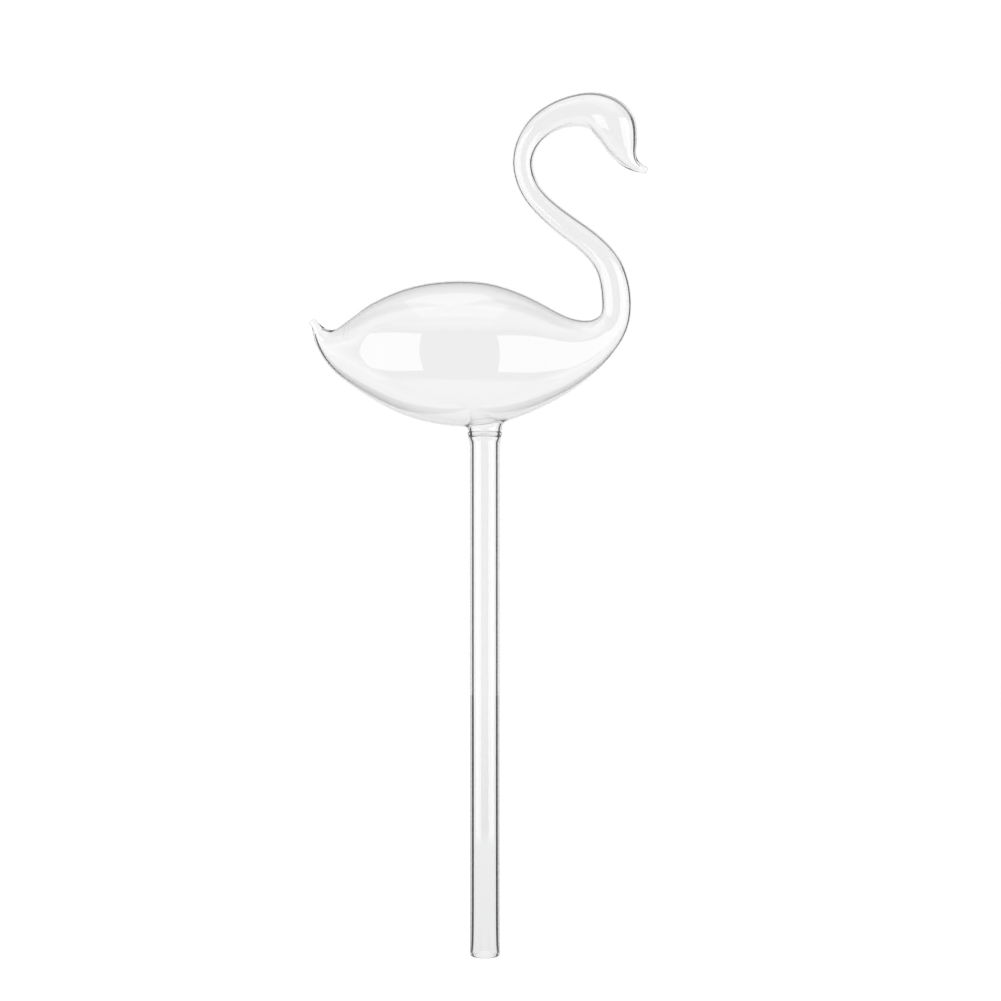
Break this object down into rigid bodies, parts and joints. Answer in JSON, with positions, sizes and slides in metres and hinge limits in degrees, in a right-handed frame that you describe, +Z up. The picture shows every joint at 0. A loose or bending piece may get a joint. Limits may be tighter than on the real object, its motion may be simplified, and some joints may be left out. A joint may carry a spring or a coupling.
{
  "type": "watering globe",
  "caption": "Clear blown-glass plant watering globe in the shape of a swan, hollow through, on a straight hollow stem that is pushed into potting soil.",
  "frame": {"origin": "middle of the stem's open lower end", "axes": "+Z up the stem's axis, +X towards the beak, and the XZ plane is the plane of symmetry"},
  "size_m": [0.106, 0.0454, 0.2706],
  "materials": {
    "stem_glass": "clear drawn glass",
    "weld_glass": "clear fused glass",
    "bulb_glass": "clear blown glass"
  },
  "bodies": {
    "root": {"stem_tube": "stem_glass", "weld_ring": "weld_glass", "body_bulb": "bulb_glass", "tail_tip": "bulb_glass", "neck_tube": "bulb_glass", "head_bulb": "bulb_glass", "beak_tip": "bulb_glass"}
  },
  "joints": []
}
